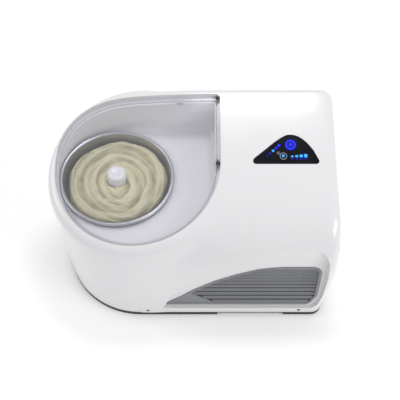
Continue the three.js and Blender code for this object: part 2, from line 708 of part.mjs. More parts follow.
function touchPanel() {
  return solid(alongZ(panelLine, 150, 290)).intersect(belowDeck(panelPlate.proud))
    .subtract(belowDeck(-panelPlate.sink + gap));
}

// ---------- grilles and inlet ----------
function frontGrille() {
  const plate = solid(alongY(grilleLine, -140, -90)).intersect(inFrontOf(2.6)).subtract(inFrontOf(-0.8));
  const inner = solid(alongY([[-25, 30.1], ...offset(grilleLine, -5.5).slice(1, -1)], -160, -60));
  const divide = solid(alongY([[20, 15], [260, 15], [260, 150], [-10, 90], [-14, 60]], -160, -60));
  const slots = Array.from({ length: 9 }, (_, i) => {
    const z = 32 + i * 9;
    return solid(box(-60, -160, z, 230, -60, z + 4.2)).intersect(inner).intersect(divide);
  });
  return cut(plate, ...slots);
}

function rearVent() {
  const plate = solid(box(40, backY - 2.7, 40, 180, backY, 120));
  const slots = Array.from({ length: 7 }, (_, i) => solid(box(48, 110, 47 + i * 10, 172, 150, 52 + i * 10)));
  return cut(plate, ...slots);
}

function mainsInlet() {
  const z = 48;
  const flange = solid(box(-28.7, backY - 3, z - 14.7, 28.7, backY, z + 14.7));
  const body = solid(box(-14, backY - 24, z - 10.5, 14, backY - 2, z + 10.5));
  const mouth = solid(box(-12, backY - 19, z - 8.2, 12, backY + 4, z + 8.2));
  const pins = [[-7, -2], [0, 3], [7, -2]].map(([x, dz]) => solid(
    box(x - 1, backY - 20, z + dz - 2, x + 1, backY - 7, z + dz + 2),
  ));
  return join(cut(flange.add(body), mouth), ...pins);
}

// ---------- assembly ----------
add('main_housing', mainHousing(), white);
add('base_tray', baseTray(), black);
add('well_tray', wellTray(), white);
add('clear_lid', clearLid(), clear);
add('lid_hinge_pin_front', hingePin(hinge.frontY), steel);
add('lid_hinge_pin_rear', hingePin(hinge.rearY), steel);
const magnetZ = deckHeight(-20, 111) - 8;
add('lid_magnet', box(-25, 108.5, magnetZ, -15, 113.5, magnetZ + 4), silver);
add('reed_switch', box(-32, 118, magnetZ - 18, -8, 124, magnetZ - 12), black);

add('removable_bowl', removableBowl(), steel);
add('fixed_bowl', fixedBowl(), steel);
add('bowl_seal', ring(bowl.rimR - 1, bowl.rimR + 2, bowl.rimZ - 7 + gap, bowl.rimZ - 5.4, bowl.x, bowl.y),
  rubber);
add('evaporator_coil', evaporatorCoil(), copper);
add('bowl_insulation', bowlInsulation(), foam);

add('paddle', paddle(), nylon);
add('paddle_knob', paddleKnob(), white);
add('drive_shaft', cylinder(bowl.x, bowl.y, shaft.bottomZ, shaft.topZ, shaft.r), steel);
add('shaft_bush', ring(shaft.r + 0.06, 5.6, 98, 112, bowl.x, bowl.y, 24), brass);
add('shaft_seal', ring(shaft.r + 0.1, 5.6, 112.3, 116, bowl.x, bowl.y, 24), rubber);

add('gearbox_case', gearboxCase(), black);
add('gearbox_cover', gearboxCover(), black);
add('output_gear', outputGear(), nylon);
add('idler_gear', idlerGear(), nylon);
add('idler_pin', cylinder(idlerPlace[0], idlerPlace[1], 56, gearboxTop + 1, 3, 24), steel);
add('motor_pinion', motorPinion(), steel);
add('drive_motor', gearMotor(), silver);

add('compressor', compressor(), paint);
mountPlaces().forEach(([x, y], i) => add(`compressor_mount_${i + 1}`, compressorMount(x, y), rubber));
add('condenser', condenser(), silver);
add('fan_shroud', fanShroud(), black);
add('fan_motor', fanMotor(), silver);
add('fan_blades', fanBlades(), black);
add('filter_drier', filterDrier(), copper);
const dischargeRoute = [[56.6, 48, 112], [49, 45, 113], [36, 10, 112], [30, -50, 104], [33.4, -84, 84]];
const suctionRoute = [[112, -9, 120], [80, -16, 138], [30, -20, 150], [-14, -20, 150], [-29, -20, 148]];
const capillaryRoute = [[8, 96, 94], [6, 90, 110], [4, 40, 126], [0, -12, 130], [-27, -20, 128]];
add('discharge_line', tube(dischargeRoute, 2.5, 6), copper);
add('suction_line', tube(suctionRoute, 3.5, 6), copper);
add('capillary_line', tube(capillaryRoute, 1.2, 6), copper);

add('touch_panel', touchPanel(), gloss);
add('display_board', displayBoard(), green);
add('power_board', powerBoard(), green);
add('front_grille', frontGrille(), silver);
add('rear_vent', rearVent(), black);
add('mains_inlet', mainsInlet(), black);

screwPlaces.forEach(([x, y], i) => add(`housing_screw_${i + 1}`, housingScrew(x, y), steel));
foot.places.forEach(([x, y], i) => {
  add(`rubber_foot_${i + 1}`, cylinder(x, y, 0, foot.height, foot.r - 1.5, 24, foot.r), rubber);
});

export default scene;
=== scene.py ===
# %% [markdown]
# # A compressor ice cream maker
# The frame of solid parts is loaded first and never moved. Every piece made below stands for one
# of those solids, or sits on one, and rides on the same body, so that the lid and the churn move.

# %% Load the frame
import json
import math

import bmesh
import bpy
import numpy as np
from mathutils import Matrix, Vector


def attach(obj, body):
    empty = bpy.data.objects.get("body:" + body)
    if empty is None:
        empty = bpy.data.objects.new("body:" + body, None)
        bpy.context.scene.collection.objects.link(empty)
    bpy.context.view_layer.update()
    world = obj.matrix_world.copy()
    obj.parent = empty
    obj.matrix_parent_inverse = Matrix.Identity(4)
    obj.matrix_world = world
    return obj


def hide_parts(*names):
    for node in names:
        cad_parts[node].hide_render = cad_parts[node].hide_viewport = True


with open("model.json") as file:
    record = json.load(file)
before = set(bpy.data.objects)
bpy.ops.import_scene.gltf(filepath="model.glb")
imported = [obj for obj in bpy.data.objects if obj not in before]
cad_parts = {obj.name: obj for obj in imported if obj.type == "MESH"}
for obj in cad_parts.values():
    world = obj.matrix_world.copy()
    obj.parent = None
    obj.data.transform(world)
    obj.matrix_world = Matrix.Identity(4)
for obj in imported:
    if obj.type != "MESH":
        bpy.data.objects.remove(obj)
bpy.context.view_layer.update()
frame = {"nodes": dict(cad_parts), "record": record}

# %% [markdown]
# Lengths below are thought out in millimetres, so one factor turns them into Blender's metres.
# The top deck is a plane that rises to the back, and it falls away slightly to the left of the
# hinge. Heights on it come from one function, so that every piece follows the same slope.

# %% Measures of the body
MM = 0.001
DECK_Z, DECK_SLOPE, DECK_BEND, HINGE_EDGE = 218.1, 0.269, 0.0004, 41.0
BASE_Z, FRONT_Y, BACK_Y = 10.0, -132.5, 132.5
TUB_X, BOWL_X, BOWL_Y = -84.0, -117.0, 13.7
RIM_Z, WELL_FLOOR = 181.0, 172.0


def deck(x, y):
    left = np.maximum(0.0, HINGE_EDGE - x)
    return DECK_Z + DECK_SLOPE * y - DECK_BEND * left**2


# %% [markdown]
# Most pieces start as rows of points: each row is a ring or a line, and neighbouring rows are
# joined with four-sided faces. A grid like this stays even, so reflections run over it smoothly.

# %% Helpers for meshes
def only(obj):
    if bpy.context.object and bpy.context.object.mode != "OBJECT":
        bpy.ops.object.mode_set(mode="OBJECT")
    bpy.ops.object.select_all(action="DESELECT")
    obj.select_set(True)
    bpy.context.view_layer.objects.active = obj


def mesh_piece(name, points, faces):
    mesh = bpy.data.meshes.new(name)
    mesh.from_pydata([tuple(float(c) * MM for c in p) for p in points], [], faces)
    obj = bpy.data.objects.new(name, mesh)
    bpy.context.collection.objects.link(obj)
    return obj


def loft(name, rows, closed=True, start_cap=False, end_cap=False, ring=False):
    count = len(rows[0])
    points = [p for row in rows for p in row]
    faces = []
    last = len(rows) if ring else len(rows) - 1
    for j in range(last):
        a, b = j * count, ((j + 1) % len(rows)) * count
        for i in range(count if closed else count - 1):
            k = (i + 1) % count
            faces.append((a + i, a + k, b + k, b + i))
    if start_cap:
        faces.append(tuple(reversed(range(count))))
    if end_cap:
        faces.append(tuple(range((len(rows) - 1) * count, len(rows) * count)))
    obj = mesh_piece(name, points, faces)
    outward(obj)
    return obj


def outward(obj):
    only(obj)
    bpy.ops.object.mode_set(mode="EDIT")
    bpy.ops.mesh.select_all(action="SELECT")
    bpy.ops.mesh.normals_make_consistent(inside=False)
    bpy.ops.object.mode_set(mode="OBJECT")


def modify(obj, kind, **settings):
    only(obj)
    modifier = obj.modifiers.new(kind.title(), kind)
    for key, value in settings.items():
        setattr(modifier, key, value)
    bpy.ops.object.modifier_apply(modifier=modifier.name)


def carve(obj, cutter, operation="DIFFERENCE"):
    modify(obj, "BOOLEAN", object=cutter, operation=operation, solver="EXACT")
    bpy.data.objects.remove(cutter)


def smooth(obj, degrees=35):
    only(obj)
    bpy.ops.object.shade_smooth_by_angle(angle=math.radians(degrees))


def joined(name, pieces):
    only(pieces[0])
    for piece in pieces:
        piece.select_set(True)
    bpy.ops.object.join()
    pieces[0].name = name
    bpy.ops.object.transform_apply(location=True, rotation=True, scale=True)
    return pieces[0]


def curve_through(stations, values):
    fine = np.linspace(stations[0], stations[-1], 400)
    line = np.interp(fine, stations, values)
    kernel = np.hanning(31) / np.hanning(31).sum()
    padded = np.concatenate([np.full(15, line[0]), line, np.full(15, line[-1])])
    return lambda at: np.interp(at, fine, np.convolve(padded, kernel, "valid"))


# %% [markdown]
# The camera stands in front of the machine and looks down on it. A long lens keeps the sides
# nearly parallel, as a product photographer would choose.

# %% Camera, floor and light
target = Vector((0.0113, 0.0071, 0.125))
elevation = math.radians(56.42)
camera_data = bpy.data.cameras.new("camera")
camera_data.lens, camera_data.sensor_width = 85, 36
camera = bpy.data.objects.new("camera", camera_data)
camera.location = target + 1.5 * Vector((0, -math.cos(elevation), math.sin(elevation)))
camera.rotation_euler = (math.pi / 2 - elevation, 0, 0)
bpy.context.collection.objects.link(camera)
bpy.context.scene.camera = camera
bpy.context.scene.view_settings.view_transform = "Standard"


def soft_light(name, place, aim, width, depth, watts):
    data = bpy.data.lights.new(name, "AREA")
    data.shape, data.size, data.size_y, data.energy = "RECTANGLE", width, depth, watts
    lamp = bpy.data.objects.new(name, data)
    lamp.location = place
    lamp.rotation_euler = (Vector(aim) - Vector(place)).to_track_quat("-Z", "Y").to_euler()
    bpy.context.collection.objects.link(lamp)
    return lamp


soft_light("overhead", (0.12, 0.41, 1.35), (0.12, 0.40, 0.0), 0.40, 0.28, 4)
soft_light("key", (1.5, -0.9, 1.3), (0, 0, 0.12), 1.0, 0.7, 11)
soft_light("left", (-1.6, 0.2, 1.2), (0, 0, 0.1), 0.8, 0.8, 5)
world = bpy.data.worlds.new("studio")
bpy.context.scene.world = world
world.use_nodes = True
world.node_tree.nodes["Background"].inputs["Color"].default_value = (0.98, 0.985, 1.0, 1)
world.node_tree.nodes["Background"].inputs["Strength"].default_value = 0.64

bpy.ops.object.select_all(action="DESELECT")
bpy.ops.mesh.primitive_plane_add(size=12, location=(0, 0, 0))
floor = bpy.context.object
floor.name = "studio_floor"

# %% [markdown]
# Materials are built from nodes. A small wrapper turns a socket into a value that can be added,
# multiplied and compared in plain Python, and each operation adds one Math node.


# %% Shader maths
class Value:
    def __init__(self, tree, socket):
        self.tree, self.socket = tree, socket

    def maths(self, operation, *others):
        node = self.tree.nodes.new("ShaderNodeMath")
        node.operation = operation
        for slot, term in zip(node.inputs, (self, *others)):
            plug(self.tree, slot, term)
        return Value(self.tree, node.outputs[0])

    def __add__(self, other):
        return self.maths("ADD", other)

    def __sub__(self, other):
        return self.maths("SUBTRACT", other)

    def __mul__(self, other):
        return self.maths("MULTIPLY", other)

    def __rsub__(self, other):
        return (self * -1.0) + other

    def __lt__(self, other):
        return self.maths("LESS_THAN", other)

    def __gt__(self, other):
        return self.maths("GREATER_THAN", other)

    __radd__, __rmul__ = __add__, __mul__


def plug(tree, slot, term):
    if isinstance(term, Value):
        tree.links.new(term.socket, slot)
    elif isinstance(term, (tuple, list)):
        slot.default_value = tuple(term) + ((1,) if len(term) == 3 and len(slot.default_value) == 4 else ())
    else:
        slot.default_value = term


class Finish:
    def __init__(self, name):
        self.material = bpy.data.materials.new(name)
        self.material.use_nodes = True
        self.tree = self.material.node_tree
        self.shader = self.tree.nodes["Principled BSDF"]
        self.place = self.node("TexCoord", out="Object")

    def node(self, kind, settings=None, out=0, **sockets):
        node = self.tree.nodes.new("ShaderNode" + kind)
        for key, value in (settings or {}).items():
            setattr(node, key, value)
        for key, value in sockets.items():
            plug(self.tree, node.inputs[key.replace("_", " ")], value)
        return Value(self.tree, node.outputs[out])

    def noise(self, scale, detail=3.0, where=None, roughness=0.5):
        return self.node("TexNoise", Vector=where or self.place, Scale=scale, Detail=detail,
                         Roughness=roughness)

    def stretched(self, scale, at=(0, 0, 0)):
        return self.node("Mapping", Vector=self.place, Scale=scale, Location=at)

    def blend(self, factor, first, second):
        node = self.tree.nodes.new("ShaderNodeMix")
        node.data_type = "RGBA"
        for slot, term in zip((node.inputs[0], node.inputs[6], node.inputs[7]), (factor, first, second)):
            plug(self.tree, slot, term)
        return Value(self.tree, node.outputs[2])

    def ranged(self, value, low, high, to_low, to_high):
        return self.node("MapRange", Value=value, From_Min=low, From_Max=high, To_Min=to_low, To_Max=to_high)

    def bump(self, height, strength, distance):
        return self.node("Bump", Strength=strength, Distance=distance, Height=height)

    def set(self, **sockets):
        for key, value in sockets.items():
            plug(self.tree, self.shader.inputs[key.replace("_", " ")], value)
        return self


# %% [markdown]
# One recipe serves most plain finishes: a colour that drifts a little over the surface, a
# roughness that drifts with it, and a fine bump for the moulded, cast or sprayed skin.


# %% Plain finishes
def plain(name, colour, rough, grain=900.0, bump=0.05, drift=0.05, distance=0.0002, **fixed):
    finish = Finish(name)
    cloud = finish.noise(14.0, 4.0)
    fine = finish.noise(grain, 2.0)
    darker = tuple(c * (1 - drift) for c in colour)
    lighter = tuple(min(1.0, c * (1 + drift)) for c in colour)
    finish.set(
        Base_Color=finish.blend(cloud, darker, lighter),
        Roughness=finish.ranged(cloud + fine * 0.3, 0.3, 1.0, rough * 0.85, min(1.0, rough * 1.2)),
        Normal=finish.bump(fine, bump, distance),
        **fixed,
    )
    return finish.material


def brushed(name, colour, rough, stretch=(3, 3, 900), scale=1.0, **fixed):
    finish = Finish(name)
    lines = finish.noise(scale, 4.0, finish.stretched(stretch))
    darker = tuple(c * 0.86 for c in colour)
    finish.set(
        Base_Color=finish.blend(lines, darker, colour),
        Roughness=finish.ranged(lines, 0.3, 0.7, rough * 0.8, rough * 1.3),
        Normal=finish.bump(lines, 0.08, 0.0002),
        Metallic=1.0, **fixed,
    )
    return finish.material


white_gloss = plain("white_gloss", (0.77, 0.77, 0.775), 0.16, 1400, 0.02, 0.012, 0.0001,
                    Coat_Weight=0.35, Coat_Roughness=0.05)
black_plastic = plain("black_plastic", (0.022, 0.022, 0.024), 0.5, 1600, 0.25, 0.15)
rubber_matt = plain("rubber", (0.03, 0.03, 0.032), 0.8, 1200, 0.3, 0.2)
grille_paint = plain("grille_silver", (0.26, 0.265, 0.275), 0.34, 1500, 0.08, 0.06, Metallic=0.55)
slat_paint = plain("slat_grey", (0.24, 0.245, 0.255), 0.42, 1500, 0.08, 0.08, Metallic=0.3)
nylon_white = plain("nylon", (0.80, 0.79, 0.75), 0.42, 700, 0.05, 0.03, Subsurface_Weight=0.05)
foam_skin = plain("foam", (0.80, 0.73, 0.50), 0.95, 420, 0.7, 0.12, 0.001)
black_enamel = plain("black_paint", (0.02, 0.02, 0.023), 0.25, 1100, 0.1, 0.2, Coat_Weight=0.5)
board_green = plain("circuit_board", (0.03, 0.16, 0.07), 0.4, 500, 0.1, 0.2)
machined = brushed("steel", (0.60, 0.61, 0.63), 0.3)
dark_steel = brushed("dark_steel", (0.16, 0.16, 0.17), 0.35)
plain_metal = brushed("silver_metal", (0.58, 0.59, 0.61), 0.36, (600, 3, 3))
copper_tube = brushed("copper", (0.80, 0.42, 0.25), 0.28, (60, 60, 60))
bronze = brushed("brass", (0.70, 0.52, 0.25), 0.34, (300, 300, 3))
floor_paint = plain("floor", (0.93, 0.93, 0.93), 0.9, 40, 0.0, 0.004, Emission_Color=(1, 1, 1), Emission_Strength=0.16)
floor.data.materials.append(floor_paint)
print("finishes", len(bpy.data.materials))

# %% [markdown]
# ## The housing
# The white body is a round tub that runs into a block with a rounded front. Seen from a post in
# the tub, each direction and each level meets the skin once, so the skin is found by halving the
# distance until it lies on the surface. The two forms are blended with a small radius where they
# meet, which leaves the soft crease beside the lid. Drawing this by hand would give dents.

# %% Form of the tub and the block
post = (TUB_X, 8.0)
side_at = curve_through([0, 10, 35, 100, 160, 188, 215, 240, 262], [204, 206, 210, 218.4, 222, 220.8, 219, 217, 214])
nose_t = np.linspace(0, 1, 60)
nose = [(1 - nose_t) ** 3 * a + 3 * (1 - nose_t) ** 2 * nose_t * b + 3 * (1 - nose_t) * nose_t**2 * c
        + nose_t**3 * d for a, b, c, d in ((-50, -92, -127, -129), (204.65, 193.3, 160, 100))]
nose_y = np.concatenate([[FRONT_Y, FRONT_Y, -131], nose[0][::-1]])
nose_z = np.concatenate([[-20, BASE_Z, 60], nose[1][::-1]])
flare_angle = np.radians([-180, -90, -75, -63, -55, -48.6, -41, -33.6, -27, -15, 0, 180])
flare_reach = [0, 0, 3, 7, 11, 15, 18, 20, 21, 15, 0, 0]
flare_depth = [60, 60, 55, 44, 31, 21.4, 12.3, 6, 3, 3, 3, 3]


def rounding(radius, depth):
    return radius * (1 - np.sqrt(1 - np.clip(1 - depth / radius, 0, 1) ** 2))


def skin_distance(x, y, level, inset):
    top = deck(x, y)
    depth = (1 - level) * (top - BASE_Z)
    z = top - depth
    angle = np.arctan2(y - post[1], x - post[0])
    middle = 10.5 - 22 * (1 - level)
    reach_x = np.where(x < TUB_X, 138.9 - 19.9 * (1 - level), 138.9)
    reach_y = np.where(y < middle, middle - FRONT_Y - 11 * np.clip(level, 0, 1) ** 3, BACK_Y - middle)
    wide = np.hypot(x - TUB_X, y - middle)
    unit = np.hypot((x - TUB_X) / reach_x, (y - middle) / reach_y)
    flare = np.interp(angle, flare_angle, flare_reach)
    flare *= np.clip(depth / np.interp(angle, flare_angle, flare_depth), 0, 1.3) ** 0.8
    edge = 11 * (1 - 0.5 * np.clip(np.sin(angle), 0, 1))
    tub = wide * (1 - 1 / np.maximum(unit, 1e-6)) + rounding(edge, depth) - flare
    corner = 17.0
    side = side_at(z) - rounding(12, depth)
    back = BACK_Y - rounding(12, depth)
    ahead = np.interp(z, nose_z, nose_y)
    over_x = x - (side - corner)
    over_y = np.maximum(y - (back - corner), (ahead + corner) - y)
    block = np.hypot(np.maximum(over_x, 0), np.maximum(over_y, 0)) - corner
    block += np.minimum(np.maximum(over_x, over_y), 0)
    block = np.where(x < TUB_X, 50.0, block)
    soft = 0.5 + 1.8 * np.clip(-2 * np.sin(angle), 0, 1)
    both = np.minimum(tub, block) - np.maximum(soft - np.abs(tub - block), 0) ** 2 / (4 * soft)
    return both + inset


def skin_rings(angles, levels, inset):
    a, v = np.meshgrid(angles, levels)
    low, high = np.full(a.shape, 20.0), np.full(a.shape, 420.0)
    for _ in range(40):
        mid = (low + high) / 2
        outside = skin_distance(post[0] + mid * np.cos(a), post[1] + mid * np.sin(a), v, inset) > 0
        low, high = np.where(outside, low, mid), np.where(outside, mid, high)
    x, y = post[0] + low * np.cos(a), post[1] + low * np.sin(a)
    top = deck(x, y)
    return x, y, top - (1 - v) * (top - BASE_Z) - inset * np.clip(v, 0, 1) ** 8


def even_angles(count):
    fine = np.linspace(-math.pi, math.pi, 4001)
    x, y, _ = skin_rings(fine, np.array([0.6]), 0)
    step = np.hypot(np.diff(x[0]), np.diff(y[0]))
    turn = np.abs(np.diff(np.unwrap(np.arctan2(np.diff(y[0]), np.diff(x[0])))))
    weight = step + 9 * np.append(turn, 0)
    total = np.concatenate([[0], np.cumsum(weight)])
    return np.interp(np.linspace(0, total[-1], count + 1)[:-1], total, fine)


def body_solid(name, inset, count=380, rows=70):
    angles = even_angles(count)
    levels = 1 - np.linspace(0, 1, rows) ** 1.8
    if inset:
        levels = np.append(levels, -0.08)
    x, y, z = skin_rings(angles, levels, inset)
    rings = []
    for share in (0.1, 0.3, 0.45, 0.6, 0.7, 0.8, 0.88, 0.94, 0.97, 0.99):
        rx, ry = post[0] + (x[0] - post[0]) * share, post[1] + (y[0] - post[1]) * share
        rings.append(list(zip(rx, ry, deck(rx, ry) - inset)))
    rings += [list(zip(x[j], y[j], z[j])) for j in range(len(levels))]
    return loft(name, rings, start_cap=True, end_cap=True)


housing = body_solid("housing_shell", 0.0)
room = body_solid("housing_room", 3.0)
print("housing skin", len(housing.data.polygons), "faces")

# %% [markdown]
# The air scoop in the front is cut with a block whose back follows the slope of the grille, and
# the same block, 2.5 mm larger, is taken off the room inside, so a wall of even thickness is left
# behind the scoop. Then the room is cut out of the body, which makes it a shell.

# %% Scoop, shell and openings
scoop_back = curve_through([16, 24, 50, 80, 110, 119, 170], [-128, -126.5, -121, -115, -110.5, -109.5, -109.5])
brow_left = curve_through([22, 33, 66, 93, 111, 128, 140, 152, 159.6, 163.8, 165], [-47, -45, -29, -6, 11, 34, 56, 83, 108, 132, 158])
brow_right = curve_through([22, 32, 55, 94, 140, 156, 165], [186, 198, 203, 206, 207, 201, 188])


def scoop_block(grow):
    rows = []
    for z in np.linspace(23, 165, 72):
        left, right = brow_left(z) - grow, brow_right(z) + grow
        across = np.linspace(left, right, 12)
        height = z + grow * (2 * (z - 23) / 142 - 1)
        back = float(scoop_back(z)) + grow
        rows.append([(x, -170, height) for x in across] + [(x, back, height) for x in across[::-1]])
    return loft("scoop_block", rows, start_cap=True, end_cap=True)


carve(room, scoop_block(2.5))
carve(housing, scoop_block(0.0))
carve(housing, room)


def arc(cx, cy, r, start, end, steps):
    turn = np.radians(np.linspace(start, end, steps + 1))
    return [(cx + r * math.cos(t), cy + r * math.sin(t)) for t in turn]


def lid_plan(grow=0.0, steps=90):
    corner = max(1.5, 6 + grow)
    turn = np.radians(np.linspace(91, 179, 40))
    rear = [(TUB_X - (125 + grow) * abs(math.cos(t)) ** 0.8, 15.5 + (103.5 + grow) * abs(math.sin(t)) ** 0.8) for t in turn]
    straight = [(HINGE_EDGE + grow, y) for y in np.linspace(15.5, 119 + grow - corner, 14)[1:-1]]
    top = [(x, 119 + grow) for x in np.linspace(HINGE_EDGE + grow - corner, TUB_X + 3, 16)[1:-1]]
    return [*arc(TUB_X, 15.5, 125 + grow, 180, 360, steps), *straight,
            *arc(HINGE_EDGE + grow - corner, 119 + grow - corner, corner, 0, 90, 6), *top, *rear]


def prism(name, outline, low, high):
    return loft(name, [[(x, y, z) for x, y in outline] for z in (low, high)], start_cap=True, end_cap=True)


carve(housing, prism("lid_opening", lid_plan(1.6), 120, 300))

panel_outline = [(x, y) for x, y in arc(186.5, 13.5, 4.5, 270, 375, 6)]
for a, b, c, d in (((183.5, 29), (172, 46), (161, 54.5), (148.5, 54.5)), ((144, 54.3), (132, 51), (113, 33), (93, 17.6))):
    for t in np.linspace(0, 1, 13):
        w = ((1 - t) ** 3, 3 * (1 - t) ** 2 * t, 3 * (1 - t) * t**2, t**3)
        panel_outline.append(tuple(sum(k * p[i] for k, p in zip(w, (a, b, c, d))) for i in (0, 1)))
panel_outline += arc(96, 13.5, 4.5, 165, 270, 6)
centre = (142.0, 28.0)
carve(housing, prism("panel_opening", [(centre[0] + (x - centre[0]) * 1.006, centre[1] + (y - centre[1]) * 1.012)
                                       for x, y in panel_outline], 200, 300))


def cube_cutter(name, low, high):
    bpy.ops.object.select_all(action="DESELECT")
    size = [(b - a) * MM for a, b in zip(low, high)]
    middle = [(a + b) / 2 * MM for a, b in zip(low, high)]
    bpy.ops.mesh.primitive_cube_add(size=1, location=middle, scale=size)
    only(bpy.context.object)
    bpy.ops.object.transform_apply(location=True, rotation=True, scale=True)
    bpy.context.object.name = name
    return bpy.context.object


def rod_cutter(name, centre_mm, radius, length, turn=(math.pi / 2, 0, 0), sides=32):
    bpy.ops.object.select_all(action="DESELECT")
    bpy.ops.mesh.primitive_cylinder_add(radius=radius * MM, depth=length * MM, vertices=sides,
                                        location=[c * MM for c in centre_mm], rotation=turn)
    only(bpy.context.object)
    bpy.ops.object.transform_apply(location=True, rotation=True, scale=True)
    bpy.context.object.name = name
    return bpy.context.object


carve(housing, cube_cutter("vent_opening", (39.7, 110, 39.7), (180.3, 150, 120.3)))
carve(housing, cube_cutter("inlet_opening", (-29, 110, 33), (29, 150, 63)))
for x, y in ((-72, FRONT_Y), (169, FRONT_Y), (-60, BACK_Y), (169, BACK_Y)):
    carve(housing, rod_cutter("screw_well", (x, y, 16.5), 2.9, 16))
grille_left = curve_through([24, 28, 45, 61.6, 82.3, 98.4, 110.8, 116, 117.3], [-42, -45.5, -20, 1, 34.6, 68, 101, 134, 160])
grille_right = curve_through([24, 30, 45.7, 73.6, 104, 112, 117.3], [175, 188, 197, 199, 199.5, 195, 184])


def grille_rows(inset, low=25.0, high=116.6, count=60):
    levels = np.linspace(low + inset, high - inset, count)
    return [(z, grille_left(z) + inset * 1.6, grille_right(z) - inset) for z in levels]


rows = []
for z, left, right in grille_rows(1.5):
    across = np.linspace(left, right, 8)
    rows.append([(x, -160, z) for x in across] + [(x, -90, z) for x in across[::-1]])
carve(housing, loft("grille_opening", rows, start_cap=True, end_cap=True))
smooth(housing, 30)
housing.data.materials.append(white_gloss)
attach(housing, "machine")
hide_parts("main_housing")
print("housing", len(housing.data.polygons), "faces")

# %% [markdown]
# ## The well under the lid
# A ledge runs round the opening and carries the lid. Below it the basin is drawn in rings about
# the bowl: the rings follow the lid's outline at the top, and they turn into the bowl's circle on
# the floor, with a hollow corner between wall and floor that a cloth can reach.

# %% Ledge and basin
ledge_section = ((1.05, 2.8), (1.05, 9.3), (-3.6, 9.3), (-3.6, 12.3), (4.0, 12.3), (4.0, 2.8))
ledge = loft("lid_ledge", [[(x, y, deck(x, y) - depth) for x, y in lid_plan(grow)]
                           for grow, depth in ledge_section], ring=True)
smooth(ledge, 40)
ledge.data.materials.append(white_gloss)
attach(ledge, "machine")

bowl_angles = np.linspace(-math.pi, math.pi, 241)[:-1]


def reach_of(grow):
    outline = np.array(lid_plan(grow, 200))
    angle = np.arctan2(outline[:, 1] - BOWL_Y, outline[:, 0] - BOWL_X)
    order = np.argsort(angle)
    return np.interp(bowl_angles, angle[order],
                     np.hypot(outline[:, 0] - BOWL_X, outline[:, 1] - BOWL_Y)[order], period=2 * math.pi)


def ring_at(reach, height=None, depth=None):
    x, y = BOWL_X + reach * np.cos(bowl_angles), BOWL_Y + reach * np.sin(bowl_angles)
    z = deck(x, y) - depth if height is None else np.broadcast_to(height, x.shape)
    return list(zip(x, y, z))


wall_reach = np.maximum(reach_of(-7.0), 90.2)
rim_x, rim_y = BOWL_X + wall_reach * np.cos(bowl_angles), BOWL_Y + wall_reach * np.sin(bowl_angles)
wall_top = deck(rim_x, rim_y) - 9.4
outer_reach = np.maximum(reach_of(-4.2), wall_reach + 1.2)
hollow = np.minimum(11.0, 0.8 * (wall_top - WELL_FLOOR))
hollow = np.minimum(hollow, np.maximum(wall_reach - 89.8, 0.3))
rings = [ring_at(outer_reach, WELL_FLOOR - 3), ring_at(outer_reach, depth=10.2),
         ring_at(wall_reach + 0.8, wall_top), ring_at(wall_reach, wall_top - 0.8)]
for turn in np.radians(np.linspace(0, 90, 9)):
    rings.append(ring_at(wall_reach - 0.2 - hollow * (1 - math.cos(turn)),
                         WELL_FLOOR + hollow * (1 - math.sin(turn))))
foot = wall_reach - 0.2 - hollow
for share in (0.9, 0.7, 0.5, 0.3, 0.12, 0.0):
    rings.append(ring_at(88.6 + (foot - 88.6) * share, WELL_FLOOR))
rings += [ring_at(np.full(240, 86.6), WELL_FLOOR - 0.8), ring_at(np.full(240, 86.2), WELL_FLOOR - 3)]
basin = loft("well_basin", rings, ring=True)
smooth(basin, 50)
basin.data.materials.append(white_gloss)
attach(basin, "machine")
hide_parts("well_tray")
print("basin", len(basin.data.polygons), "faces")

# %% [markdown]
# ## The clear lid
# The lid is one moulding: a flat top that follows the deck, a rounded rim and a short skirt. Its
# right edge is a barrel that turns on two pins. Clear plastic is drawn as a mix: most light goes
# straight on, slightly tinted, and a share that grows at grazing angles is reflected.

# %% Lid
HINGE_X, HINGE_DROP, BARREL = 38.0, 3.0, 3.0
lid_section = [(-2.6 + 2.6 * math.sin(t), 2.6 - 2.6 * math.cos(t))
               for t in np.radians(np.linspace(0, 90, 9))]
lid_section += [(-0.4, 3.2), (-1.9, 3.5), (-2.4, 4.1), (-2.4, 8.5), (-2.8, 8.95), (-4.8, 8.95),
                (-5.2, 8.5), (-5.2, 5.0), (-5.6, 3.9), (-6.3, 3.2), (-7.5, 3.0)]


def flat_rings(grow, depth, shares):
    outline = lid_plan(grow)
    rings = []
    for share in shares:
        points = [(TUB_X + (x - TUB_X) * share, 20 + (y - 20) * share) for x, y in outline]
        rings.append([(x, y, deck(x, y) - depth) for x, y in points])
    return rings


shares = (0.04, 0.2, 0.4, 0.6, 0.75, 0.88, 0.95, 0.985)
lid_rows = flat_rings(-2.6, 0.0, shares)
lid_rows += [[(x, y, deck(x, y) - depth) for x, y in lid_plan(grow)] for grow, depth in lid_section]
lid_rows += flat_rings(-7.5, 3.0, shares[::-1])
lid = loft("lid_shell", lid_rows, start_cap=True, end_cap=True)
carve(lid, cube_cutter("hinge_side", (HINGE_X, -60, 150), (60, 130, 290)))
carve(lid, cube_cutter("front_of_barrel", (HINGE_X - BARREL - 0.4, -60, 150), (60, 5, 290)))
tilt = math.atan(DECK_SLOPE)


def hinge_height(y):
    return float(deck(HINGE_X, y)) - HINGE_DROP


def hinge_block(name, y, low, high):
    block = cube_cutter(name, low, high)
    block.rotation_euler = (tilt, 0, 0)
    block.location = (0, y * MM, hinge_height(y) * MM)
    only(block)
    bpy.ops.object.transform_apply(location=True, rotation=True, scale=True)
    return block


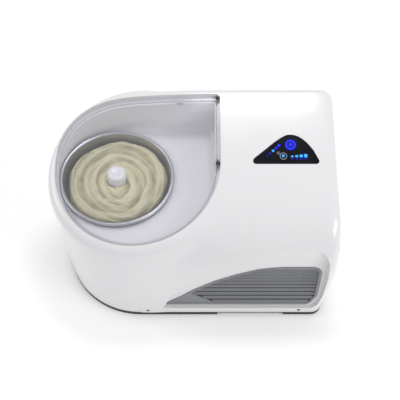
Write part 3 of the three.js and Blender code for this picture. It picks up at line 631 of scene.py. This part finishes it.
middle = 59.0
barrel = rod_cutter("barrel", (HINGE_X, middle, hinge_height(middle)), BARREL, 108 / math.cos(tilt),
                    (math.pi / 2 + tilt, 0, 0), 40)
carve(lid, barrel, "UNION")
for y in (11.5, 115.0):
    carve(lid, hinge_block("lug_room", y, (HINGE_X - 6, -3.6, -13), (60, 3.6, 12)))
carve(lid, hinge_block("rear_corner", 115.0, (HINGE_X - 6, 0, -13), (60, 20, 12)))
smooth(lid, 40)

glassy = Finish("clear_plastic")
smudge = glassy.noise(26.0, 5.0)
glassy.set(Base_Color=(0.95, 0.95, 1.0), Roughness=glassy.ranged(smudge, 0.35, 0.7, 0.03, 0.09),
           IOR=1.52, Specular_IOR_Level=0.6)
clear_body = glassy.tree.nodes.new("ShaderNodeBsdfTransparent")
clear_body.inputs["Color"].default_value = (0.985, 0.982, 0.996, 1)
mixer = glassy.tree.nodes.new("ShaderNodeMixShader")
sheen = glassy.node("LayerWeight", out=0, Blend=0.12)
plug(glassy.tree, mixer.inputs[0], glassy.ranged(sheen + smudge * 0.02, 0.0, 1.0, 0.05, 0.75))
glassy.tree.links.new(clear_body.outputs[0], mixer.inputs[1])
glassy.tree.links.new(glassy.shader.outputs[0], mixer.inputs[2])
glassy.tree.links.new(mixer.outputs[0], glassy.tree.nodes["Material Output"].inputs["Surface"])
lid.data.materials.append(glassy.material)
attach(lid, "lid")
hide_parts("clear_lid")

lugs = []
for y in (11.5, 115.0):
    lug = hinge_block("hinge_lug", y, (HINGE_X - 2.6, -2.8, -11), (HINGE_X + 3.4, 2.8, 2.6))
    modify(lug, "BEVEL", width=1.4 * MM, segments=3)
    lugs.append(lug)
hinge_lugs = joined("hinge_lugs", lugs)
smooth(hinge_lugs, 40)
hinge_lugs.data.materials.append(black_plastic)
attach(hinge_lugs, "machine")
print("lid", len(lid.data.polygons), "faces")

# %% [markdown]
# ## Bowl and knob
# Both are turned: a profile is drawn from the axis outwards and spun once round. The bowl is
# spun and brushed steel with a rolled rim, so its brush lines run round it, and its finish is
# worked out from the distance to the axis. The knob has a shallow dimple for a fingertip.


# %% Turned pieces
def turned(name, profile, x, y, steps=128, closed=False):
    count = len(profile)
    mesh = bpy.data.meshes.new(name)
    edges = [(i, i + 1) for i in range(count - 1)] + ([(count - 1, 0)] if closed else [])
    mesh.from_pydata([((x + r) * MM, y * MM, z * MM) for r, z in profile], edges, [])
    obj = bpy.data.objects.new(name, mesh)
    bpy.context.collection.objects.link(obj)
    only(obj)
    bpy.ops.object.mode_set(mode="EDIT")
    bpy.ops.mesh.select_all(action="SELECT")
    bpy.ops.mesh.spin(steps=steps, angle=2 * math.pi, center=(x * MM, y * MM, 0), axis=(0, 0, 1))
    bpy.ops.mesh.select_all(action="SELECT")
    bpy.ops.mesh.remove_doubles(threshold=0.00001)
    bpy.ops.mesh.normals_make_consistent(inside=False)
    bpy.ops.object.mode_set(mode="OBJECT")
    return obj


rim = [(86.0 - 2.9 * math.cos(t), RIM_Z - 2.9 + 2.9 * math.sin(t)) for t in np.radians(np.linspace(-10, 250, 22))]
corner_in = [(66 + 8 * math.sin(t), 107 - 8 * math.cos(t)) for t in np.radians(np.linspace(0, 84, 8))]
corner_out = [(66 + 9 * math.sin(t), 107 - 9 * math.cos(t)) for t in np.radians(np.linspace(84, 0, 8))]
bowl_profile = [(10.5, 99), *corner_in, (82, 174.5), *rim, (83.4, 173.0), *corner_out, (9.5, 98), (9.5, 147), (10.5, 148)]
bowl = turned("bowl_liner", bowl_profile, BOWL_X, BOWL_Y, closed=True)
smooth(bowl, 50)

spun = Finish("bowl_steel")
x_axis = spun.node("SeparateXYZ", Vector=spun.place, out=0)
y_axis = spun.node("SeparateXYZ", Vector=spun.place, out=1)
z_axis = spun.node("SeparateXYZ", Vector=spun.place, out=2)
off_x, off_y = x_axis - BOWL_X * MM, y_axis - BOWL_Y * MM
from_axis = (off_x * off_x + off_y * off_y).maths("SQRT")
brush = spun.node("TexNoise", {"noise_dimensions": "1D"}, W=from_axis * 2600.0 + z_axis * 1400.0, Detail=3.0)
worn = spun.noise(9.0, 3.0)
spun.set(Base_Color=spun.blend(brush, (0.44, 0.45, 0.47), (0.56, 0.57, 0.60)), Metallic=1.0,
         Roughness=spun.ranged(brush + worn * 0.4, 0.4, 1.0, 0.26, 0.40),
         Normal=spun.bump(brush, 0.10, 0.0002))
bowl.data.materials.append(spun.material)
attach(bowl, "machine")
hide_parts("removable_bowl")

knob_profile = [(0, 189.3), (2.5, 189.4), (4.5, 189.9), (6.5, 190.7), (9.5, 191.2), (12, 190.9), (13.6, 189.8),
                (14.4, 187.9), (14.5, 180), (14.6, 171.2), (14.2, 169.9), (13, 169.4), (0, 169.4)]
knob = turned("paddle_cap", knob_profile, BOWL_X, BOWL_Y, 72)
smooth(knob, 50)
knob.data.materials.append(plain("knob_white", (0.82, 0.82, 0.84), 0.24, 1300, 0.03, 0.015, Coat_Weight=0.2))
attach(knob, "knob")
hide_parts("paddle_knob")

# %% [markdown]
# ## The ice cream
# Soft ice cream keeps the marks of the paddle: long folds that wind round the hub, overlap and
# break up near the wall. The folds are waves along a spiral, pushed out of round by slower waves,
# so that no two turns match. It turns with the paddle, and it stays clear of the bowl's wall.

# %% Ice cream
around = np.linspace(0, 2 * math.pi, 361)[:-1]


def fold(phase, sharp=0.35):
    turn = 2 * math.pi * phase
    return np.sin(turn) + sharp * np.sin(2 * turn + 0.9) + 0.16 * np.sin(3 * turn + 0.4)


def batch_height(r, a):
    x, y = r * np.cos(a), r * np.sin(a)
    wander = 6.5 * np.sin(a + 0.7) + 4.2 * np.sin(2 * a + 1.9) + 2.0 * np.sin(3 * a - 0.4 + r / 30)
    slow = 0.5 + 0.5 * np.sin(0.075 * x + 0.05 * y + 1.3)
    patch = 0.5 + 0.5 * np.sin(0.11 * y - 0.06 * x + 0.8 * np.sin(0.05 * x))
    height = 172.2 + 1.6 * np.cos(r / 26)
    height += 2.9 * fold((r + wander) / 24 + a / (2 * math.pi)) * (0.35 + 0.65 * slow)
    height += 1.5 * fold((r - 7 * np.sin(a + 2) + 3 * np.sin(2 * a)) / 13 - a / math.pi, 0.5) * (1.05 - slow)
    height += 0.9 * fold((r + 9 * np.sin(a - 1.1)) / 7.5 + 1.5 * a / math.pi, 0.4) * patch * (1 - 0.5 * slow)
    height += 0.6 * np.sin(0.21 * x + 1.7 * np.sin(0.11 * y)) * np.sin(0.19 * y + 1.3 * np.sin(0.13 * x))
    height += 0.25 * np.sin(0.83 * x + 0.4 * y) * np.sin(0.61 * y - 0.5 * x + 1)
    return height


edge_reach = 76.4 + 1.5 * np.sin(2 * around + 0.4) + 1.1 * np.sin(5 * around + 1) + 0.6 * np.sin(9 * around)
edge_reach += 0.35 * np.sin(17 * around + 2)
rows = []
for share in np.linspace(0, 1, 84):
    r = 15.0 + (edge_reach - 15.0) * share
    fall = np.clip((r - (edge_reach - 8)) / 8, 0, 1)
    z = batch_height(r, around) - 5.0 * fall**2.4 - 1.2 * np.clip((18 - r) / 3, 0, 1)
    rows.append(list(zip(BOWL_X + r * np.cos(around), BOWL_Y + r * np.sin(around), z)))
for low, tuck in ((160.5, 0.4), (155, 0.9), (150, 1.4)):
    r = edge_reach - tuck
    rows.append(list(zip(BOWL_X + r * np.cos(around), BOWL_Y + r * np.sin(around), np.full(360, low))))
r = np.full(360, 15.0)
rows.append(list(zip(BOWL_X + r * np.cos(around), BOWL_Y + r * np.sin(around), np.full(360, 150.0))))
batch = loft("ice_cream", rows, ring=True)
smooth(batch, 80)

cream = Finish("ice_cream")
streaks = cream.noise(34.0, 5.0)
grainy = cream.noise(420.0, 4.0)
height = cream.node("SeparateXYZ", Vector=cream.place, out=2)
# Painted shade and light: the colour darkens in the low valleys between the folds and lightens on the crests, set by
# height alone.
crest_light_valley_shade_mask = cream.ranged(height + streaks * 0.0012, 0.1665, 0.1765, 0.0, 1.0)
painted_fold_light_and_shade = cream.blend(crest_light_valley_shade_mask, (0.25, 0.225, 0.115), (0.74, 0.71, 0.46))
cream.set(Base_Color=cream.blend(cream.ranged(streaks, 0.45, 0.75, 0.0, 0.6), painted_fold_light_and_shade, (0.66, 0.61, 0.38)),
          Roughness=cream.ranged(streaks, 0.3, 0.7, 0.38, 0.55), Subsurface_Weight=0.12,
          Subsurface_Radius=(0.004, 0.003, 0.002), Normal=cream.bump(grainy + streaks * 2.0, 0.25, 0.0006))
batch.data.materials.append(cream.material)
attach(batch, "churn")
print("ice cream", len(batch.data.polygons), "faces")

# %% [markdown]
# ## The front grille
# The frame is a band that follows the opening and stands just proud of the scoop. Behind it sit
# slats that slope outwards, closer together at the top, and a plain wedge closes the left end.
# Each slat is one bar cut to the opening's width at its own height.


# %% Grille
def on_scoop(x, z, ahead):
    return (x, float(scoop_back(z)) - ahead, z)


def closed_outline(inset):
    rows = grille_rows(inset, count=46)
    top = [(x, rows[-1][0]) for x in np.linspace(rows[-1][2], rows[-1][1], 8)[1:-1]]
    bottom = [(x, rows[0][0]) for x in np.linspace(rows[0][1], rows[0][2], 24)[1:-1]]
    return [(right, z) for z, _, right in rows] + top + [(left, z) for z, left, _ in rows[::-1]] + bottom


frame_section = ((0.6, -2.0), (0.6, 0.9), (1.3, 1.5), (4.3, 1.5), (5.0, 0.9), (5.0, -2.0))
frame_rows = [[on_scoop(x, z, ahead) for x, z in closed_outline(inset)] for inset, ahead in frame_section]
band = loft("grille_band", frame_rows, ring=True)
slats = []
z, pitch = 110.6, 6.0
while z > 30:
    inside = max(float(grille_left(z)) + 8.5, -6.0 + (54 - z) * 1.7 if z < 54 else -50.0)
    right = float(grille_right(z)) - 4.6
    section = ((0.7, -0.16 * pitch), (0.3, -0.16 * pitch - 1.1), (-0.28 * pitch, 0.04 * pitch), (-0.25 * pitch, 0.04 * pitch + 1.0))
    ends = []
    for x in (inside - 3.0, right):
        ends.append([(x, float(scoop_back(z + rise)) - ahead, z + rise) for ahead, rise in section])
    slats.append(loft("slat", ends, start_cap=True, end_cap=True))
    z -= pitch
    pitch = min(9.6, pitch + 0.42)
wedge_rows = []
for z in np.linspace(28.5, 58, 22):
    left = float(grille_left(z)) + 7
    right = max(left + 0.3, -6.0 + (54 - z) * 1.7)
    wedge_rows.append([on_scoop(left, z, 0.7), on_scoop(right, z, 0.7), on_scoop(right, z, -1.2),
                       on_scoop(left, z, -1.2)])
wedge = loft("grille_wedge", wedge_rows, start_cap=True, end_cap=True)
lip_rows = []
for z in np.linspace(29, 55, 16):
    x = -6.0 + (54 - z) * 1.7
    lip_rows.append([on_scoop(x - 0.7, z, 1.0), on_scoop(x + 0.7, z, 1.0), on_scoop(x + 0.7, z, -1.0),
                     on_scoop(x - 0.7, z, -1.0)])
lip = loft("grille_lip", lip_rows, start_cap=True, end_cap=True)
for piece, finish in ((band, grille_paint), (wedge, slat_paint), (lip, grille_paint)):
    piece.data.materials.append(finish)
for slat in slats:
    slat.data.materials.append(slat_paint)
grille = joined("grille_face", [band, wedge, lip, *slats])
smooth(grille, 30)
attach(grille, "machine")
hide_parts("front_grille")
print("grille", len(slats), "slats")

# %% [markdown]
# ## The touch panel
# The panel is a plate of black gloss. Its signs are lit from behind: a ring round the power sign,
# five dots that grow, a small dial and four bars. Each sign is a mask worked out from the distance
# to its centre, and the masks only choose the colour of the light.

# %% Lit signs
glow = Finish("panel_glass")
sign_x = glow.node("SeparateXYZ", Vector=glow.place, out=0)
sign_y = glow.node("SeparateXYZ", Vector=glow.place, out=1)


def away(cx, cy, stretch=1.0):
    dx, dy = sign_x - cx * MM, (sign_y - cy * MM) * stretch
    return (dx * dx + dy * dy).maths("SQRT")


def soft_disc(cx, cy, radius, blur=0.9):
    return glow.ranged(away(cx, cy), (radius + blur) * MM, (radius - blur) * MM, 0.0, 1.0)


def soft_ring(cx, cy, radius, width, blur=0.7):
    gap = (away(cx, cy) - radius * MM).maths("ABSOLUTE")
    return glow.ranged(gap, (width / 2 + blur) * MM, (width / 2) * MM, 0.0, 1.0)


def soft_bar(cx, cy, width, height, blur=0.5):
    dx = (sign_x - cx * MM).maths("ABSOLUTE")
    dy = (sign_y - cy * MM).maths("ABSOLUTE")
    across = glow.ranged(dx, (width / 2 + blur) * MM, (width / 2 - blur / 2) * MM, 0.0, 1.0)
    return across * glow.ranged(dy, (height / 2 + blur) * MM, (height / 2 - blur / 2) * MM, 0.0, 1.0)


blue = soft_ring(148.5, 38.7, 6.6, 1.5) + soft_disc(148.5, 38.7, 2.6, 1.6) * 0.8
blue = blue + soft_disc(148.5, 38.7, 8.0, 3.5) * 0.12
for n, (cx, cy) in enumerate(((112.8, 20.9), (117.2, 24.9), (121.9, 29.2), (126.4, 33.4), (130.8, 37.6))):
    if n != 2:
        blue = blue + soft_disc(cx, cy, 1.0 + 0.28 * n, 0.8) * (0.45 + 0.12 * n)
for n in range(4):
    blue = blue + soft_bar(150.5 + 6.8 * n, 16.4, 4.4, 0.4, 0.4) * 0.8
cyan = soft_disc(121.9, 29.2, 1.7) + soft_disc(137.0, 21.2, 1.9)
for n in range(4):
    cyan = cyan + soft_bar(150.5 + 6.8 * n, 20.4 + 0.35 * n, 3.4 + 0.3 * n, 2.0 + 0.85 * n, 0.7)
dial = soft_ring(137.2, 20.8, 5.0, 0.3, 0.4) * 0.35 + soft_disc(129.8, 25.6, 2.6, 0.8) * 0.10
lit = glow.blend(blue.maths("MINIMUM", 1.0), (0.0, 0.0, 0.0), (0.02, 0.03, 0.95))
lit = glow.blend(cyan.maths("MINIMUM", 1.0), lit, (0.05, 0.36, 1.0))
lit = glow.blend(dial, lit, (0.8, 0.8, 0.9))
haze = glow.noise(60.0, 3.0)
glow.set(Base_Color=glow.blend(haze, (0.004, 0.004, 0.006), (0.010, 0.010, 0.013)),
         Roughness=glow.ranged(haze, 0.3, 0.7, 0.10, 0.16), Emission_Color=lit, Emission_Strength=1.6,
         Specular_IOR_Level=0.12)

# %% [markdown]
# ## Finishes on the other parts
# The remaining solids keep their shapes. Each takes the finish of what it is made of, also those
# that only show through the grille, with the lid open, or not at all.

# %% Finishes by part
finishes = {
    "white_gloss": white_gloss, "black_plastic": black_plastic, "rubber": rubber_matt, "steel": machined,
    "silver_metal": plain_metal, "copper": copper_tube, "brass": bronze, "foam": foam_skin,
    "nylon": nylon_white, "circuit_board": board_green, "black_paint": black_enamel,
    "bowl_steel": spun.material, "silver_plastic": grille_paint, "clear_plastic": glassy.material,
    "panel_glass": glow.material,
}
slots = {part["node"]: part["material_slot"] for part in frame["record"]["subparts"]}
for name, obj in frame["nodes"].items():
    obj.data.materials.clear()
    dark = name.startswith(("housing_screw", "lid_hinge_pin"))
    obj.data.materials.append(dark_steel if dark else finishes[slots[name]])
print("finished nodes", len(frame["nodes"]))
